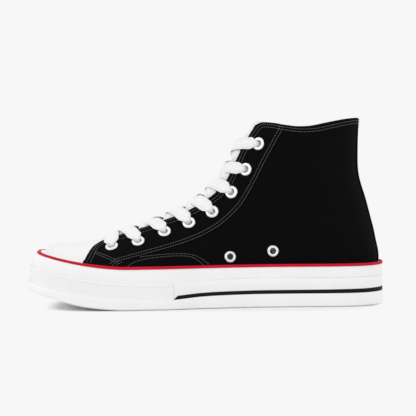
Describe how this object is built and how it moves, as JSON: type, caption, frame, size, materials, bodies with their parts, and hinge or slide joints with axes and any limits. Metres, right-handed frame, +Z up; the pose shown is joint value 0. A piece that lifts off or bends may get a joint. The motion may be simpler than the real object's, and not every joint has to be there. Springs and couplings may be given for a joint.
{
  "type": "high top sneaker",
  "caption": "Right high top canvas sneaker with white rubber toe cap, tall foxing band with red edge, flat white laces and a hollow lined upper.",
  "frame": {"origin": "on the floor under the middle of the sole's length and width", "axes": "+X from toe to heel, -Y towards the inner side of the foot, +Z up"},
  "size_m": [0.284, 0.1061, 0.1473],
  "materials": {
    "outsole_rubber": "matte white rubber",
    "foxing_rubber": "satin white rubber",
    "bumper_rubber": "white rubber with a fine diamond relief",
    "red_rubber": "satin red rubber",
    "black_rubber": "satin black rubber",
    "toe_cap_rubber": "smooth white rubber",
    "black_canvas": "black woven cotton canvas",
    "tongue_canvas": "white woven cotton canvas",
    "insole_fabric": "off-white cloth over foam",
    "eyelet_metal": "white lacquered metal",
    "lace_cotton": "white flat woven cotton lace"
  },
  "bodies": {
    "root": {"outsole": "outsole_rubber", "foxing": "foxing_rubber", "red_stripe": "red_rubber", "toe_bumper": "bumper_rubber", "heel_band": "foxing_rubber", "black_stripe": "black_rubber", "insole": "insole_fabric", "upper": "black_canvas", "toe_cap": "toe_cap_rubber", "tongue": "tongue_canvas", "heel_stay": "black_canvas", "eyelet_medial_1": "eyelet_metal", "eyelet_medial_2": "eyelet_metal", "eyelet_medial_3": "eyelet_metal", "eyelet_medial_4": "eyelet_metal", "eyelet_medial_5": "eyelet_metal", "eyelet_medial_6": "eyelet_metal", "eyelet_medial_7": "eyelet_metal", "eyelet_medial_8": "eyelet_metal", "eyelet_lateral_1": "eyelet_metal", "eyelet_lateral_2": "eyelet_metal", "eyelet_lateral_3": "eyelet_metal", "eyelet_lateral_4": "eyelet_metal", "eyelet_lateral_5": "eyelet_metal", "eyelet_lateral_6": "eyelet_metal", "eyelet_lateral_7": "eyelet_metal", "eyelet_lateral_8": "eyelet_metal", "vent_eyelet_1": "eyelet_metal", "vent_eyelet_2": "eyelet_metal", "lace_bar": "lace_cotton", "lace_crossing_1": "lace_cotton", "lace_crossing_2": "lace_cotton", "lace_crossing_3": "lace_cotton", "lace_crossing_4": "lace_cotton", "lace_crossing_5": "lace_cotton", "lace_crossing_6": "lace_cotton", "lace_crossing_7": "lace_cotton"}
  },
  "joints": []
}
